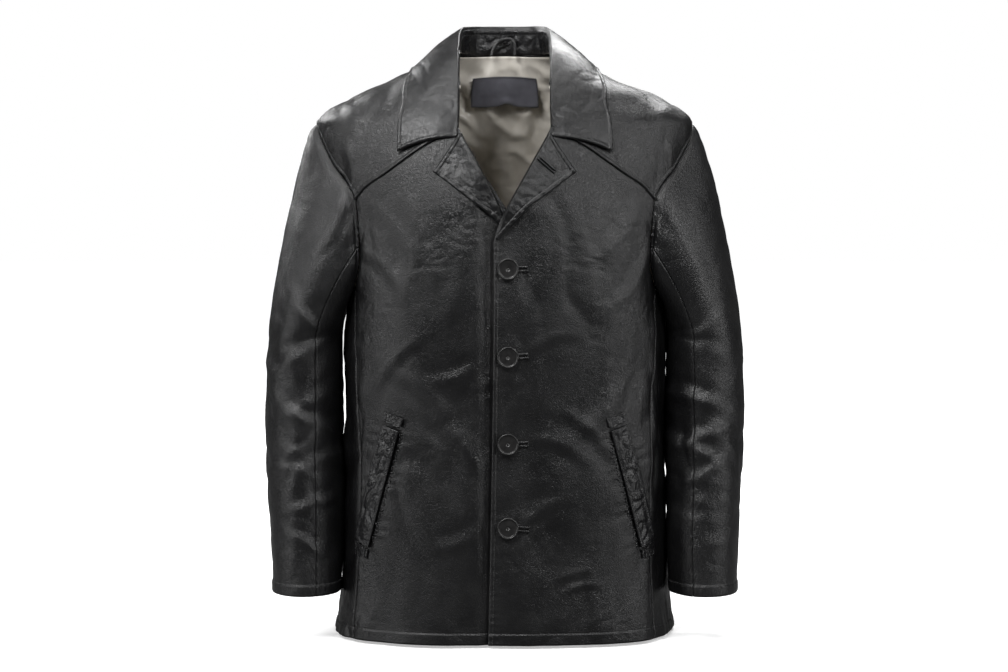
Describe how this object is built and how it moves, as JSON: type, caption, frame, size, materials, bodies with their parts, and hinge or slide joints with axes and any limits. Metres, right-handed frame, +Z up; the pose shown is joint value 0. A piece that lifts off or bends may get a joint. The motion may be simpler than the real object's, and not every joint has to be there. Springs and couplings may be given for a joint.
{
  "type": "leather jacket",
  "caption": "Hip-length black leather coat with notched lapels, a fold-down collar, a buttoned front, slanted welt pockets, set-in sleeves and a satin lining.",
  "frame": {"origin": "middle of the neck opening between the shoulders, where a wearer's shoulders hold the coat up", "axes": "+Z up, the front faces -Y, +X towards the wearer's left"},
  "size_m": [0.6184, 0.3146, 0.7833],
  "materials": {
    "shell_leather": "semi-gloss black nappa leather with a fine grain and soft creases",
    "satin_lining": "smooth grey-beige satin with a soft sheen",
    "button_horn": "polished black button with a raised rim",
    "button_thread": "wound black thread",
    "label_cloth": "matte dark grey woven patch, blank",
    "pad_wadding": "soft undyed wadding",
    "pocket_cloth": "matte black twill"
  },
  "bodies": {
    "coat_body": {"front_left": "shell_leather", "front_yoke_left": "shell_leather", "side_panel_left": "shell_leather", "facing_left": "shell_leather", "lapel_left": "shell_leather", "pocket_welt_left": "shell_leather", "pocket_tab_top_left": "shell_leather", "pocket_tab_low_left": "shell_leather", "lining_front_left": "satin_lining", "shoulder_pad_left": "pad_wadding", "pocket_bag_left": "pocket_cloth", "front_right": "shell_leather", "front_yoke_right": "shell_leather", "side_panel_right": "shell_leather", "facing_right": "shell_leather", "lapel_right": "shell_leather", "pocket_welt_right": "shell_leather", "pocket_tab_top_right": "shell_leather", "pocket_tab_low_right": "shell_leather", "lining_front_right": "satin_lining", "shoulder_pad_right": "pad_wadding", "pocket_bag_right": "pocket_cloth", "back_panel": "shell_leather", "back_yoke": "shell_leather", "hem_facing": "shell_leather", "collar_leaf": "shell_leather", "collar_stand": "shell_leather", "lining_back": "satin_lining", "label_patch": "label_cloth", "button_shank_1": "button_thread", "buttonhole_1": "shell_leather", "button_shank_2": "button_thread", "buttonhole_2": "shell_leather", "button_shank_3": "button_thread", "buttonhole_3": "shell_leather", "button_shank_4": "button_thread", "buttonhole_4": "shell_leather"},
    "sleeve_left": {"sleeve_top_left": "shell_leather", "sleeve_under_left": "shell_leather", "cuff_facing_left": "shell_leather", "sleeve_lining_left": "satin_lining"},
    "sleeve_right": {"sleeve_top_right": "shell_leather", "sleeve_under_right": "shell_leather", "cuff_facing_right": "shell_leather", "sleeve_lining_right": "satin_lining"},
    "button_1": {"button_1": "button_horn"},
    "button_2": {"button_2": "button_horn"},
    "button_3": {"button_3": "button_horn"},
    "button_4": {"button_4": "button_horn"},
    "hanger_loop": {"hanger_loop": "shell_leather"}
  },
  "joints": [
    {"name": "sleeve_left_lift", "type": "hinge", "parent": "coat_body", "child": "sleeve_left", "pos_m": [0.2425, 0, -0.035], "axis": [0, -1, 0], "range_deg": [0, 30]},
    {"name": "sleeve_right_lift", "type": "hinge", "parent": "coat_body", "child": "sleeve_right", "pos_m": [-0.2425, 0, -0.035], "axis": [0, 1, 0], "range_deg": [0, 30]},
    {"name": "button_1_turn", "type": "hinge", "parent": "coat_body", "child": "button_1", "pos_m": [0.004, -0.14376, -0.218], "axis": [0, -0.9964, 0.0848], "range_deg": [-60, 60]},
    {"name": "button_2_turn", "type": "hinge", "parent": "coat_body", "child": "button_2", "pos_m": [0.004, -0.1488, -0.328], "axis": [0, -0.9997, 0.0256], "range_deg": [-60, 60]},
    {"name": "button_3_turn", "type": "hinge", "parent": "coat_body", "child": "button_3", "pos_m": [0.004, -0.15259, -0.437], "axis": [0, -0.9989, 0.0466], "range_deg": [-60, 60]},
    {"name": "button_4_turn", "type": "hinge", "parent": "coat_body", "child": "button_4", "pos_m": [0.004, -0.15769, -0.542], "axis": [0, -0.999, 0.0453], "range_deg": [-60, 60]},
    {"name": "hanger_loop_swing", "type": "hinge", "parent": "coat_body", "child": "hanger_loop", "pos_m": [0, 0.068, 0.057], "axis": [1, 0, 0], "range_deg": [0, 80]}
  ]
}
